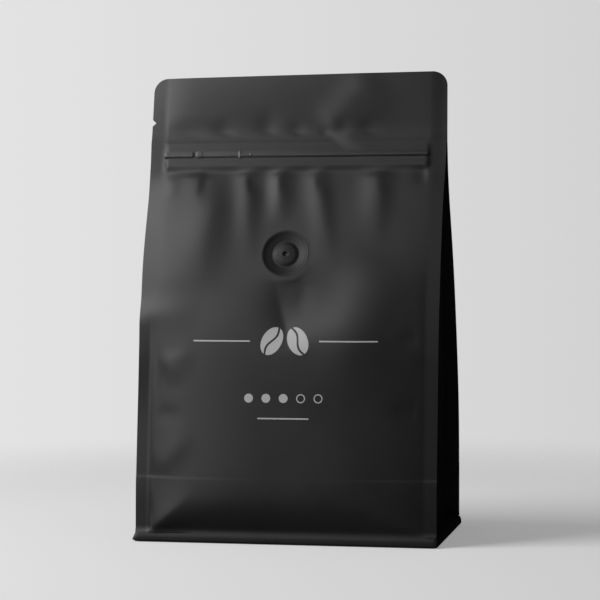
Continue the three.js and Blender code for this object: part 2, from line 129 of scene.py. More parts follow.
def seal_reach(side, z):
    """How far the free edge of the right seal (side 1) or the left one (side -1) is from the middle."""
    up = np.maximum(0, z - (HEIGHT - CORNER))
    reach = HALF_WIDTH - CORNER + np.sqrt(np.maximum(0, CORNER**2 - up**2))
    reach = reach + HEADER_WIDER * smooth(z, *(LEFT_WIDENS if side < 0 else RIGHT_WIDENS))
    reach = reach - side * HEADER_DRIFT * smooth(z, HEADER_FROM, HEIGHT)
    if side > 0:
        return reach
    reach = reach + LEFT_WIDER * bump(z, LEFT_WIDER_Z, LEFT_WIDER_HALF)
    reach = reach - LEFT_NARROWER * bump(z, LEFT_NARROWER_Z, LEFT_NARROWER_HALF)
    return reach - NOTCH_DEPTH * np.maximum(0, 1 - np.abs(z - NOTCH_Z) / (NOTCH_HEIGHT / 2))


# The filled panels swell, less and less towards the zip, and are tucked in above the foot.
BELLY = 4.8
BELLY_FROM = 66.0
BELLY_POWER = 3.2
TUCK = 11.6
TUCK_HEIGHT = 61.0
TUCK_POWER = 2.2
HIP_POWER = 5.0


def belly(x, z):
    """The lesser of the swell across the panel and the tuck, with a soft hip between them."""
    above = 1 - smooth(z, BELLY_FROM, ZIP_LOW)
    across = BELLY * above * (1 - np.minimum(1, np.abs(x / ROOT_X)) ** BELLY_POWER)
    tucked = TUCK * (1 - (1 - np.clip((z - FOOT_TOP) / TUCK_HEIGHT, 0, 1)) ** TUCK_POWER)
    both = (across**HIP_POWER + tucked**HIP_POWER) ** (1 / HIP_POWER)
    return across * tucked / np.maximum(both, 1e-9)


# Beside its seals a panel steps up from the flat weld and, in the upper half, swells a little.
EDGE_STEP = 0.12
EDGE_WIDTH = 1.3
EDGE_RUN = 6.0
EDGE_PUFF = 0.75
EDGE_PUFF_WIDTH = 10.0
PUFF_COMES = (95.0, 115.0)
PUFF_GOES = (155.0, ZIP_LOW + 1)
HEADER_PUFF = 0.8
HEADER_PUFF_BY = 184.0
RIGHT_SHARE = 0.2
RIGHT_FADE = (-30, 30)


def edge_puff(x, z):
    inward = ROOT_X - np.abs(x)
    below_zip = smooth(z, *PUFF_COMES) * (1 - smooth(z, *PUFF_GOES))
    above_zip = HEADER_PUFF * smooth(z, ZIP_HIGH, HEADER_PUFF_BY)
    step = EDGE_STEP * smooth(inward, 0, EDGE_WIDTH) * smooth(z, FOOT_TOP, FOOT_TOP + EDGE_RUN)
    puff = EDGE_PUFF * inward / EDGE_PUFF_WIDTH * np.exp(1 - inward / EDGE_PUFF_WIDTH)
    weaker_right = mix(1.0, RIGHT_SHARE, smooth(x, *RIGHT_FADE))
    return weaker_right * (step * (1 - below_zip) + puff * (below_zip + above_zip))


# Folds of a panel, each a straight crest from one point (x, z) to another. Then come its half widths to the
# left and right, its height (a dent is negative), the shares of its length that fade in and out, and on some
# the power of its crest: near one it is sharp, and two, the usual, is round.
PLEATS = [
    ((-54.3, 157), (-54.6, 144), 2.8, 3.5, 0.25, 0.3, 0.5),
    ((-42.6, 160.5), (-43.4, 143), 7.0, 2.8, 0.45, 0.30, 0.65),
    ((-34.0, 161.5), (-41.0, 104), 11.5, 8.5, 1.50, 0.38, 0.55),
    ((-20.4, 161.5), (-18.0, 116), 5.7, 4.2, 1.00, 0.13, 0.8),
    ((-6.5, 161.5), (-4.8, 132), 4.5, 4.4, 1.15, 0.22, 0.78),
    ((9.4, 161.5), (19.3, 112), 5.4, 3.9, 0.80, 0.13, 0.8),
    ((37.7, 161.5), (36.9, 122), 7.3, 4.4, 1.05, 0.18, 0.8),
    ((55.2, 161), (55.6, 150), 3.0, 2.6, -0.30, 0.3, 0.6),
]
POCKETS = [
    ((x - 0.2, top), (x + slant, top - 11.5), 1.8, 3.0, -depth, 0.35, 0.6)
    for x, slant, top, depth in (
        (-39.2, -2.8, 156.5, 0.12),
        (-19.2, 1.8, 158.5, 0.42),
        (-5.0, 1.8, 158.5, 0.24),
        (11.3, 1.8, 158.5, 0.26),
        (38.6, 1.8, 158.5, 0.2),
    )
]
HEADER_FOLDS = [
    ((13.0, 174), (37.0, 202), 8.5, 13.0, 1.00, 0.2, 0.35),
    ((-50.5, 173), (-48.0, 184), 6.0, 6.0, -0.15, 0.3, 0.7),
    ((-33.5, 173), (-32.0, 184), 4.5, 4.5, -0.28, 0.3, 0.7),
    ((-14.3, 173), (-12.5, 189), 4.5, 4.5, -0.36, 0.25, 0.75),
    ((-0.8, 173), (0.5, 182.5), 3.8, 3.8, -0.28, 0.3, 0.7),
    ((11.8, 173), (12.2, 179), 2.0, 2.4, -0.15, 0.3, 0.7),
    ((19.6, 173), (21.0, 184), 3.8, 3.8, -0.42, 0.3, 0.7),
    ((30.5, 173), (32.0, 183), 4.8, 4.5, -0.28, 0.3, 0.7),
]
VALVE_FOLDS = [
    ((-7.4, 115), (3.4, 80), 6.2, 20.0, -2.05, 0.50, 0.45, 1.25),
    ((7.2, 112), (5.3, 93), 3.3, 4.3, -0.20, 0.15, 0.7),
]
SIDE_FOLDS = [
    ((41.7, 126), (21.7, 62), 13.9, 13.3, 1.50, 0.3, 0.5),
    ((-57.2, 87), (-56.8, 61), 2.0, 2.4, -0.20, 0.2, 0.3),
    ((-56.1, 75.0), (-37.8, 79.5), 4.2, 5.8, 0.60, 0.30, 0.6),
    ((-53.9, 65.5), (-37.9, 67), 3.2, 3.2, -0.14, 0.25, 0.6),
    ((-56.9, 54.5), (-42.0, 54.0), 3.4, 3.4, -0.34, 0.25, 0.6),
    ((-59.4, 28.5), (-38.6, 50), 6.5, 5.5, 0.65, 0.35, 0.5),
    ((-60.0, 4.0), (-36.0, 24.0), 6.5, 5.5, 1.30, 0.05, 0.75, 1.5),
    ((57.0, 88), (46.0, 84), 3.6, 3.6, -0.20, 0.2, 0.6),
    ((57.0, 56), (45.0, 58), 3.6, 3.6, -0.20, 0.2, 0.6),
]
FRONT_FOLDS = PLEATS + POCKETS + HEADER_FOLDS + VALVE_FOLDS + SIDE_FOLDS
BACK_FOLDS = PLEATS + POCKETS + HEADER_FOLDS + SIDE_FOLDS
FOLD_ENDS = 3.0


def fold_height(x, z, start, end, left, right, rise, come_in, go_out, power=2.0):
    run = (end[0] - start[0], end[1] - start[1])
    length = math.hypot(*run)
    along = ((x - start[0]) * run[0] + (z - start[1]) * run[1]) / length**2
    aside = ((x - start[0]) * run[1] - (z - start[1]) * run[0]) / math.copysign(length, run[1])
    fade = smooth(along, 0, come_in) * (1 - smooth(along, 1 - go_out, 1))
    return rise * fade * np.exp(-(np.abs(aside / np.where(aside < 0, left, right)) ** power))


# The film sweeps out to the foot below a fold line across the pouch, and has a soft shoulder at the left.
FOOT_SWEEP = 0.8
FOOT_SWEEP_HEIGHT = 2.2
FOOT_SWEEP_POWER = 1.7
CREASE_Z = 27.9
CREASE_HALF = 0.7
CREASE_RISE = 0.25
CREASE_IN_MIDDLE = 0.08
CREASE_FADE = (10, CREASE_Z - 2)
SHOULDER_Z = 97.0
SHOULDER_HALF = 6.0
SHOULDER_RISE = 0.75
SHOULDER_FADE = (-58, -36)


def crease(x, z):
    sweep = FOOT_SWEEP * np.clip(1 - (z - FOOT_TOP) / FOOT_SWEEP_HEIGHT, 0, 1) ** FOOT_SWEEP_POWER
    outer = mix(CREASE_IN_MIDDLE, 1.0, (np.abs(x) / HALF_WIDTH) ** 2)
    shoulder = SHOULDER_RISE * bump(z, SHOULDER_Z, SHOULDER_HALF) * (1 - smooth(x, *SHOULDER_FADE))
    below = (1 - smooth(z, CREASE_Z - CREASE_HALF, CREASE_Z + CREASE_HALF)) * smooth(z, *CREASE_FADE)
    return sweep + CREASE_RISE * outer * below + shoulder


# The zip's band stands out a little from the panel, with a low lip along its lower edge.
ZIP_RISE = 0.55
BAND_LOW = (157.6, 161.0)
BAND_HIGH = (166.5, 172.0)
BAND_ENDS = 2.5
LIP_Z = 161.3
LIP_HALF = 1.5
LIP_RISE = 0.22


def zip_band(x, z):
    inside = smooth(ROOT_X - np.abs(x), 0, BAND_ENDS)
    band = smooth(z, *BAND_LOW) * (1 - smooth(z, *BAND_HIGH))
    lip = LIP_RISE * bump(z, LIP_Z, LIP_HALF)
    return inside * (ZIP_RISE * band + lip)


def panel_depth(x, z, folds):
    """How far a panel with these folds lies from the middle of the pouch."""
    inside = smooth(ROOT_X - np.abs(x), 0, FOLD_ENDS)
    relief = sum(fold_height(x, z, *fold) for fold in folds)
    return seal_depth(z) + belly(x, z) + edge_puff(x, z) + crease(x, z) + zip_band(x, z) + relief * inside


# The pouch does not stand quite upright, and its top edge is bowed, twisted and slants up to the right.
STAND_BACK = 2.3
STAND_BACK_Z = 54.0
STAND_BACK_HALF = 34.0
STAND_FORWARD = 3.4
STAND_FORWARD_FROM = 100.0
HEADER_LEAN = 0.235
HEADER_BOW = 2.3
HEADER_TWIST = 0.04
TOP_SLANT = 1.0
RIGHT_TURN = 0.6
RIGHT_TURN_RUN = (148, ZIP_HIGH)
RIGHT_TURN_START = ROOT_X - 1


def stance(x, z):
    """How far back the middle of the pouch is: back low down, forward at the zip, then the header leans."""
    low = STAND_BACK * bump(z, STAND_BACK_Z, STAND_BACK_HALF)
    forward = STAND_FORWARD * smooth(z, STAND_FORWARD_FROM, HEADER_FROM)
    bow = HEADER_BOW * (1 - (x / HALF_WIDTH) ** 2) * smooth(z, HEADER_FROM, HEIGHT)
    lean = np.maximum(0, z - HEADER_FROM) * (HEADER_LEAN - HEADER_TWIST * x / HALF_WIDTH)
    right_seal = RIGHT_TURN * smooth(x, RIGHT_TURN_START, HALF_WIDTH) * smooth(z, *RIGHT_TURN_RUN)
    return low - forward - bow + lean + right_seal


# The front panel has a sunk seat for the valve, and no folds on the film around it. The back panel has the
# front's folds turned round, but softer, and swells less.
VALVE_X = -1.8
VALVE_Z = 123.0
VALVE_RADIUS = 10.0
VALVE_CLEAR = 0.5
VALVE_CALM = 14.0
VALVE_SEAT = 2.6
VALVE_SNAP = 0.45
BACK_SOFTER = 0.7
BACK_SWELL = 0.56


def front_depth(x, z):
    away = np.hypot(x - VALVE_X, z - VALVE_Z)
    seat = np.where(away < VALVE_RADIUS - VALVE_SNAP, VALVE_SEAT, 0.0)
    folded = smooth(away, VALVE_RADIUS + VALVE_CLEAR, VALVE_CALM)
    return mix(panel_depth(x, z, []), panel_depth(x, z, FRONT_FOLDS), folded) - seat


def back_depth(x, z):
    flatter = (1 - BACK_SWELL) * belly(x, z)
    return mix(panel_depth(-x, z, []), panel_depth(-x, z, BACK_FOLDS), BACK_SOFTER) - flatter


# Columns across a panel and levels up the pouch, in runs from one place to another with a step between them.
CORNER_STEPS = 12


def places(*runs):
    spaced = [np.linspace(a, b, round((b - a) / step) + 1)[:-1] for a, b, step in runs]
    return np.concatenate(spaced + [[runs[-1][1]]])


columns = places(
    (-ROOT_X, -55, 0.55),
    (-55, -14, 0.88),
    (-14, 10.5, 0.6),
    (10.5, 55, 0.88),
    (55, ROOT_X, 0.55),
)
levels = np.concatenate([
    places(
        (FOOT_TOP, 9, 0.45),
        (9, 25, 1.1),
        (25, 31, 0.4),
        (31, 110, 1.7),
        (110, 136, 0.75),
        (136, 158.5, 0.75),
        (158.5, 174.5, 0.5),
        (174.5, NOTCH_Z - NOTCH_HEIGHT / 2, 0.75),
        (NOTCH_Z - NOTCH_HEIGHT / 2, NOTCH_Z, 0.35),
        (NOTCH_Z, NOTCH_Z + NOTCH_HEIGHT / 2, 0.35),
        (NOTCH_Z + NOTCH_HEIGHT / 2, HEIGHT - CORNER, 1.1),
    ),
    HEIGHT - CORNER + CORNER * np.sin(np.linspace(0, math.pi / 2, CORNER_STEPS + 1)[1:]),
])

# The gussets swell low down and are folded in towards the zip. The seals beside them bend a little.
GUSSET_IN = 30.0
GUSSET_FROM = 40.0
GUSSET_MOUTH = 3.0
GUSSET_OUT = 2.0
GUSSET_CREASE = 0.5
GUSSET_CREASE_HALF = 0.05
GUSSET_STEPS = 22
SEAL_STEPS = 4
LEFT_TURN = 1.6
LEFT_TURN_COMES = (SHOULDER_Z - 7, SHOULDER_Z + 7)
LEFT_TURN_GOES = (146, ZIP_LOW)
LEFT_FORWARD = 0.5
LEFT_FORWARD_HALF = 14.0


def gusset_x(across, z):
    """How far out a gusset is, at a place across it from -1 at the front to 1 at the back."""
    closing = mix(GUSSET_IN, GUSSET_MOUTH, np.clip((z - ZIP_LOW) / (ZIP_HIGH - ZIP_LOW), 0, 1))
    drawn = np.where(z > ZIP_LOW, closing, GUSSET_IN * smooth(z, GUSSET_FROM, ZIP_LOW))
    swell = GUSSET_OUT * smooth(z, FOOT_TOP, GUSSET_FROM) * (1 - smooth(z, GUSSET_FROM, ZIP_LOW))
    fold_line = GUSSET_CREASE * bump(across, 0, GUSSET_CREASE_HALF)
    return ROOT_X - drawn * (1 - np.abs(across)) + swell * (1 - across**2) - fold_line


def seal_turn(side, x, z):
    """How far a seal's free edge bends inwards. The left one does above the shoulder, and bends outwards
    below it. The right one does up to the zip."""
    left = LEFT_TURN * smooth(z, *LEFT_TURN_COMES) * (1 - smooth(z, *LEFT_TURN_GOES))
    left = left - LEFT_FORWARD * bump(z, LEFT_NARROWER_Z, LEFT_FORWARD_HALF)
    right = RIGHT_TURN * (1 - smooth(z, *RIGHT_TURN_RUN))
    return float(left if side < 0 else right) * (x - ROOT_X) / SEAL


def side_of_level(side, z):
    """Points (x, y) from the front panel's edge to the back panel's edge: seal, gusset, seal."""
    depth = float(seal_depth(z) + crease(side * HALF_WIDTH, z))
    reach = float(seal_reach(side, z))
    mouth = depth - SEAL_THICK
    out = np.linspace(ROOT_X, reach, SEAL_STEPS + 1)
    half = [(x, seal_turn(side, x, z) - depth) for x in out[1:]]
    half += [(x, seal_turn(side, x, z) - mouth) for x in out[:0:-1]]
    across = np.linspace(-1, 1, GUSSET_STEPS + 1)
    gusset = [(float(gusset_x(a, z)), a * mouth) for a in across]
    middle = half[SEAL_STEPS:] + gusset + [(x, -y) for x, y in half[:SEAL_STEPS - 1:-1]]
    if z > ZIP_HIGH:
        middle = [(reach, 0.0)] * len(middle)
    points = half[:SEAL_STEPS] + middle + [(x, -y) for x, y in half[SEAL_STEPS - 1::-1]]
    return [(side * x, y) for x, y in points]


def ring(front, back, right, left, z):
    """One closed level, anticlockwise from above: front panel, right side, back panel, left side."""
    rest = right + list(zip(columns[::-1], back[::-1])) + left[::-1]
    points = list(front) + [(x, y, z) for x, y in rest]
    slant = TOP_SLANT * float(smooth(z, ZIP_HIGH, HEIGHT))
    return [(x, y + float(stance(x, h)), h + slant * (x / WIDTH + 0.5)) for x, y, h in points]


def front_points(z):
    """The front panel's points at a level, those near the valve drawn onto the round cut for it."""
    x, up = columns - VALVE_X, np.full(len(columns), z - VALVE_Z)
    away = np.hypot(x, up)
    drawn = np.where(np.abs(away - VALVE_RADIUS) < VALVE_SNAP, VALVE_RADIUS / np.maximum(away, 1e-6), 1.0)
    x, up = VALVE_X + x * drawn, VALVE_Z + up * drawn
    return zip(x, -front_depth(x, up), up)


# Levels of the foot: height, then how far it stands out in front and behind, at the right and at the left.
FOOT_PROFILE = [
    (0.0, -0.1, -0.6, -0.6),
    (0.25, 0.75, 0.15, 0.3),
    (0.6, 1.08, 0.6, 1.1),
    (1.0, 1.15, 0.85, 1.6),
    (1.4, 1.18, 0.9, 1.4),
    (2.4, 1.18, 0.83, 0.9),
    (2.75, 1.15, 0.8, 0.75),
    (3.1, 1.09, 0.7, 0.6),
    (3.5, 0.99, 0.55, 0.45),
    (3.8, 0.91, 0.35, 0.35),
    (4.05, 0.85, 0.15, 0.2),
]
FOOT_CORNER = 1.5


def side_of_foot(side, depth, side_out, count):
    """As many points round the side of the foot, whose corners are rounded off."""
    reach = HALF_WIDTH + side_out
    front = [(x, -depth) for x in np.linspace(ROOT_X, reach - FOOT_CORNER, SEAL_STEPS + 1)[1:]]
    for angle in np.linspace(0, math.pi / 2, SEAL_STEPS + 1)[1:]:
        x = reach - FOOT_CORNER * (1 - math.sin(angle))
        front.append((x, -depth + FOOT_CORNER * (1 - math.cos(angle))))
    between = count - 2 * len(front)
    straight = np.linspace(-depth + FOOT_CORNER, depth - FOOT_CORNER, between + 2)[1:-1]
    points = front + [(reach, y) for y in straight] + [(x, -y) for x, y in reversed(front)]
    return [(side * x, y) for x, y in points]


side_count = len(side_of_level(1, FOOT_TOP))
rings = []
for z, face_out, right_out, left_out in FOOT_PROFILE:
    depth = float(seal_depth(0.0)) + face_out
    sides = [side_of_foot(side, depth, out, side_count) for side, out in ((1, right_out), (-1, left_out))]
    rings.append(ring([(x, -depth, z) for x in columns], np.full(len(columns), depth), *sides, z))
for z in levels:
    rings.append(ring(front_points(z), back_depth(columns, z), side_of_level(1, z), side_of_level(-1, z), z))

# The base panel is hollow inside the foot's rim and has a fold line along its middle.
BASE_HOLLOW = 1.2
BASE_SIDE = ROOT_X + 4
BASE_PAST_FRONT = 2.0
BASE_RIM = (3.0, 7.5)
BASE_FOLD = 0.35
BASE_FOLD_HALF = 0.9
BASE_FOLD_ENDS = (4, 10)
FILM_SHARP = math.radians(42)


def base_height(x, y, front_y):
    edge = min(BASE_SIDE - abs(x), abs(front_y) + BASE_PAST_FRONT - abs(y))
    hollow = BASE_HOLLOW * float(smooth(edge, *BASE_RIM))
    return hollow + BASE_FOLD * float(bump(y, 0, BASE_FOLD_HALF) * smooth(edge, *BASE_FOLD_ENDS))


def film_mesh(rings):
    """The rings as one closed mesh, with the top edge and the base panel filled in."""
    ring_size = len(rings[0])
    panel = len(columns)
    right = np.arange(panel, panel + side_count)
    back = np.arange(2 * panel + side_count - 1, panel + side_count - 1, -1)
    left = np.arange(ring_size - 1, 2 * panel + side_count - 1, -1)
    points = [point for level in rings for point in level]
    index = np.arange(len(points)).reshape(len(rings), ring_size)
    faces = []

    def face(*corners):
        once = list(dict.fromkeys(corners))
        if len(once) > 2:
            faces.append(once)

    # Above the zip the gussets have ended, so all points between two seals become one.
    middle = slice(SEAL_STEPS, side_count - SEAL_STEPS)
    for row, level in zip(index, rings):
        if level[0][2] > ZIP_HIGH:
            row[right[middle]] = row[right[SEAL_STEPS]]
            row[left[middle]] = row[left[SEAL_STEPS]]
    for low, high in zip(index, index[1:]):
        for a, b, c, d in zip(low, np.roll(low, -1), np.roll(high, -1), high):
            face(a, b, c, d)

    # The top edge.
    top = index[-1]
    for i in range(panel - 1):
        face(top[i], top[i + 1], top[back[i + 1]], top[back[i]])
    face(top[panel - 1], *top[right], top[back[-1]])
    face(top[back[0]], *top[left[::-1]], top[0])

    # The base panel, with rows of its own inside the lowest ring.
    base = index[0]
    rows = [rings[0][j][1] for j in right]
    inner = []
    for y in rows:
        inner.append(range(len(points), len(points) + panel))
        points += [(x, y, base_height(x, y, rows[0])) for x in columns]
    for i in range(panel - 1):
        face(base[i + 1], base[i], inner[0][i], inner[0][i + 1])
        face(inner[-1][i + 1], inner[-1][i], base[back[i]], base[back[i + 1]])
    for j in range(side_count - 1):
        for i in range(panel - 1):
            face(inner[j][i + 1], inner[j][i], inner[j + 1][i], inner[j + 1][i + 1])
        face(inner[j][0], base[left[j]], base[left[j + 1]], inner[j + 1][0])
        face(base[right[j]], inner[j][-1], inner[j + 1][-1], base[right[j + 1]])
    face(base[0], base[left[0]], inner[0][0])
    face(base[right[0]], base[panel - 1], inner[0][-1])
    face(base[left[-1]], base[back[0]], inner[-1][0])
    face(base[back[-1]], base[right[-1]], inner[-1][-1])

    used = sorted({i for f in faces for i in f})
    new = {old: i for i, old in enumerate(used)}
    mesh = bpy.data.meshes.new("pouch_film")
    mesh.from_pydata([Vector(points[i]) * MM for i in used], [], [[new[i] for i in f] for f in faces])
    mesh.shade_smooth()
    mesh.set_sharp_from_angle(angle=FILM_SHARP)
    return mesh


def in_scene(name, data):
    """A new object, linked to the scene."""
    thing = bpy.data.objects.new(name, data)
    bpy.context.scene.collection.objects.link(thing)
    return thing


film = in_scene("pouch_film", film_mesh(rings))

# The film is matte black, a little mottled and grained.
FILM_BLACK = (0.018, 0.018, 0.0185, 1)
FILM_WORN = (0.030, 0.030, 0.031, 1)
SHEEN_SPREAD = 0.03
GRAIN_STRENGTH = 0.2


def link(tree, value, socket):
    """Sets a socket to a value or joins it to another node's output."""
    if isinstance(value, bpy.types.NodeSocket):
        tree.links.new(value, socket)
    else:
        socket.default_value = value


def add_node(tree, kind, **values):
    """A new node with these inputs, in whose names an underscore stands for a space."""
    node = tree.nodes.new(kind)
    for name, value in values.items():
        link(tree, value, node.inputs[name.replace("_", " ")])
    return node


def maths(tree, operation, *values):
    node = tree.nodes.new("ShaderNodeMath")
    node.operation = operation
    for value, socket in zip(values, node.inputs):
        link(tree, value, socket)
    return node.outputs[0]


def mixed_colour(tree, share, first, second):
    node = tree.nodes.new("ShaderNodeMix")
    node.data_type = "RGBA"
    for name, value in (("Factor", share), ("A", first), ("B", second)):
        link(tree, value, node.inputs[name])
    return node.outputs["Result"]


def film_grain_group():
    """Fine grain and slow mottling of plastic film: a mottle from 0 to 1 and a height for bump."""
    group = bpy.data.node_groups.new("film_grain", "ShaderNodeTree")
    for name in ("Mottle Scale", "Grain Scale"):
        group.interface.new_socket(name, in_out="INPUT", socket_type="NodeSocketFloat")
    for name in ("Mottle", "Height"):
        group.interface.new_socket(name, in_out="OUTPUT", socket_type="NodeSocketFloat")
    given = group.nodes.new("NodeGroupInput").outputs
    result = group.nodes.new("NodeGroupOutput").inputs
    place = group.nodes.new("ShaderNodeTexCoord").outputs["Object"]
    for source, detail, target in (("Mottle Scale", 4.0, "Mottle"), ("Grain Scale", 2.0, "Height")):
        noise = add_node(group, "ShaderNodeTexNoise", Vector=place, Scale=given[source], Detail=detail)
        link(group, noise.outputs["Fac"], result[target])
    return group


film_grain = film_grain_group()


def plastic_material(name, dark, light, rough, gloss, mottle_scale, grain_scale, grain_depth):
    """A black plastic whose colour and gloss wander a little, with fine grain."""
    material = bpy.data.materials.new(name)
    material.use_nodes = True
    tree = material.node_tree
    surface = tree.nodes["Principled BSDF"].inputs
    surface["Specular IOR Level"].default_value = gloss
    grain = tree.nodes.new("ShaderNodeGroup")
    grain.node_tree = film_grain
    grain.inputs["Mottle Scale"].default_value = mottle_scale
    grain.inputs["Grain Scale"].default_value = grain_scale
    mottle = grain.outputs["Mottle"]
    link(tree, mixed_colour(tree, mottle, dark, light), surface["Base Color"])
    sheen = add_node(tree, "ShaderNodeMapRange", Value=mottle)
    sheen.inputs["To Min"].default_value = rough - SHEEN_SPREAD
    sheen.inputs["To Max"].default_value = rough + SHEEN_SPREAD
    link(tree, sheen.outputs["Result"], surface["Roughness"])
    relief = add_node(tree, "ShaderNodeBump", Strength=GRAIN_STRENGTH, Distance=grain_depth)
    link(tree, grain.outputs["Height"], relief.inputs["Height"])
    link(tree, relief.outputs["Normal"], surface["Normal"])
    return material


film_finish = plastic_material(
    "matte_black_film",
    FILM_BLACK,
    FILM_WORN,
    rough=0.38,
    gloss=0.5,
    mottle_scale=60.0,
    grain_scale=2600.0,
    grain_depth=0.00004,
)

# The print on the front is light grey: two coffee beans between two rules, a row of dots and a short rule.
PRINT_GREY = (0.60, 0.60, 0.60, 1)
BEAN_WIDE = 4.3
BEAN_LONG = 6.2
BEAN_BEND = 0.9
BEAN_GROOVE = 0.45
BEAN_TILT = math.radians(28)
BEANS = (-5.6, 5.6)
BEAN_Z = 86.0
RULE_INNER = 15.0
RULE_OUTER = 40.0
RULE_THICK = 0.6
DOT_RADIUS = 1.9
DOT_LINE = 0.45
DOT_SPACING = 7.5
DOT_COUNT = 5
DOTS_FULL = 3
DOT_Z = 62.0
FOOT_RULE = 11.0
FOOT_RULE_Z = 53.5
NO_GAP = -1.0


def along_line(tree, x, z, tilt):
    """How far a point is along a line that is tilted up by an angle."""
    level = maths(tree, "MULTIPLY", x, math.cos(tilt))
    return maths(tree, "ADD", level, maths(tree, "MULTIPLY", z, math.sin(tilt)))


def bean_mask(tree, x, z, middle_x, tilt):
    """One where a tilted coffee bean is printed, with its bent groove left free."""
    aside = maths(tree, "SUBTRACT", x, middle_x)
    up = maths(tree, "SUBTRACT", z, BEAN_Z)
    across = along_line(tree, aside, up, tilt)
    along = along_line(tree, up, aside, -tilt)
    wide = maths(tree, "POWER", maths(tree, "DIVIDE", across, BEAN_WIDE), 2.0)
    long = maths(tree, "POWER", maths(tree, "DIVIDE", along, BEAN_LONG), 2.0)
    inside = maths(tree, "LESS_THAN", maths(tree, "ADD", wide, long), 1.0)
    wave = maths(tree, "SINE", maths(tree, "MULTIPLY", along, math.pi / BEAN_LONG))
    groove = maths(tree, "SUBTRACT", across, maths(tree, "MULTIPLY", wave, BEAN_BEND))
    beside = maths(tree, "GREATER_THAN", maths(tree, "ABSOLUTE", groove), BEAN_GROOVE)
    return maths(tree, "MULTIPLY", inside, beside)


def rule_mask(tree, x, z, inner, outer, height):
    """One on a thin level rule that runs from inner to outer on both sides of the middle."""
    reach = maths(tree, "ABSOLUTE", x)
    past = maths(tree, "GREATER_THAN", reach, inner)
    across = maths(tree, "MULTIPLY", past, maths(tree, "LESS_THAN", reach, outer))
    off = maths(tree, "ABSOLUTE", maths(tree, "SUBTRACT", z, height))
    return maths(tree, "MULTIPLY", across, maths(tree, "LESS_THAN", off, RULE_THICK / 2))


def dot_mask(tree, x, z):
    """One on a row of dots, of which the last are only rings."""
    step = maths(tree, "ROUND", maths(tree, "DIVIDE", x, DOT_SPACING))
    aside = maths(tree, "SUBTRACT", x, maths(tree, "MULTIPLY", step, DOT_SPACING))
    up = maths(tree, "SUBTRACT", z, DOT_Z)
    squares = maths(tree, "ADD", maths(tree, "POWER", aside, 2.0), maths(tree, "POWER", up, 2.0))
    away = maths(tree, "SQRT", squares)
    disc = maths(tree, "LESS_THAN", away, DOT_RADIUS)
    edge = maths(tree, "GREATER_THAN", away, DOT_RADIUS - DOT_LINE)
    full = maths(tree, "LESS_THAN", x, (DOTS_FULL - DOT_COUNT / 2) * DOT_SPACING)
    row = maths(tree, "LESS_THAN", maths(tree, "ABSOLUTE", x), DOT_COUNT / 2 * DOT_SPACING)
    return maths(tree, "MULTIPLY", maths(tree, "MULTIPLY", disc, maths(tree, "MAXIMUM", edge, full)), row)


def print_on(material):
    """Lays the print over the front panel's colour."""
    tree = material.node_tree
    colour = tree.nodes["Principled BSDF"].inputs["Base Color"]
    place = tree.nodes.new("ShaderNodeTexCoord").outputs["Object"]
    spot = add_node(tree, "ShaderNodeSeparateXYZ", Vector=place)
    x, y, z = (maths(tree, "DIVIDE", spot.outputs[axis], MM) for axis in "XYZ")
    shapes = [bean_mask(tree, x, z, middle, math.copysign(BEAN_TILT, middle)) for middle in BEANS]
    shapes.append(rule_mask(tree, x, z, RULE_INNER, RULE_OUTER, BEAN_Z))
    shapes.append(dot_mask(tree, x, z))
    shapes.append(rule_mask(tree, x, z, NO_GAP, FOOT_RULE, FOOT_RULE_Z))
    printed = shapes[0]
    for shape in shapes[1:]:
        printed = maths(tree, "MAXIMUM", printed, shape)
    printed = maths(tree, "MULTIPLY", printed, maths(tree, "LESS_THAN", y, 0.0))
    link(tree, mixed_colour(tree, printed, colour.links[0].from_socket, PRINT_GREY), colour)


print_on(film_finish)
film.data.materials.append(film_finish)
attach(film, "root")
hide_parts("pouch")

# The degassing valve. A moulded black disc welded under a round cut in the front panel: a rolled rim, a dish
# that falls towards the middle, and a raised cap with one pin hole that lets the coffee's gas out.
RIM_OVER = 0.9
RIM_PROUD = 0.05
RIM_INSIDE = 0.1
RIM_BACK = 0.3
WALL_FOOT = 8.6
DISH_DEEP = 0.6
DISH_FALL = 0.8
CAP_FOOT = 5.7
CAP_TOP = 4.3
CAP_DEEP = 0.75
CAP_DOME = 0.3
VENT_RADIUS = 0.85
VENT_LIP = 0.6
VENT_FALL = 0.15
VALVE_BACK = 2.2
VALVE_ROUND = 0.5
VALVE_STEPS = 96
VALVE_SHARP = math.radians(50)
SLOPE_REACH = 4
VALVE_BLACK = (0.014, 0.014, 0.0145, 1)
VALVE_WORN = (0.024, 0.024, 0.025, 1)


def rounded(corners, radius, steps=5, most=0.45):
    """A profile with its inner corners rounded off, each over at most a share of the lines beside it."""
    line = [corners[0]]
    for before, here, after in zip(corners, corners[1:], corners[2:]):
        before, here, after = (np.array(p, float) for p in (before, here, after))
        back = before - here
        on = after - here
        reach = min(radius, most * np.linalg.norm(back), most * np.linalg.norm(on))
        a = here + back / np.linalg.norm(back) * reach
        b = here + on / np.linalg.norm(on) * reach
        for share in np.linspace(0, 1, steps):
            line.append(tuple((1 - share) ** 2 * a + 2 * share * (1 - share) * here + share**2 * b))
    return line + [corners[-1]]


def film_face(x, z):
    """Where the smooth front panel lies."""
    return float(stance(x, z) - panel_depth(x, z, []))


valve_rise = film_face(VALVE_X, VALVE_Z + SLOPE_REACH) - film_face(VALVE_X, VALVE_Z - SLOPE_REACH)
valve_slope = valve_rise / (2 * SLOPE_REACH)
valve_seat = Vector((VALVE_X, film_face(VALVE_X, VALVE_Z), VALVE_Z))
valve_out = Vector((0, -1, valve_slope)).normalized()


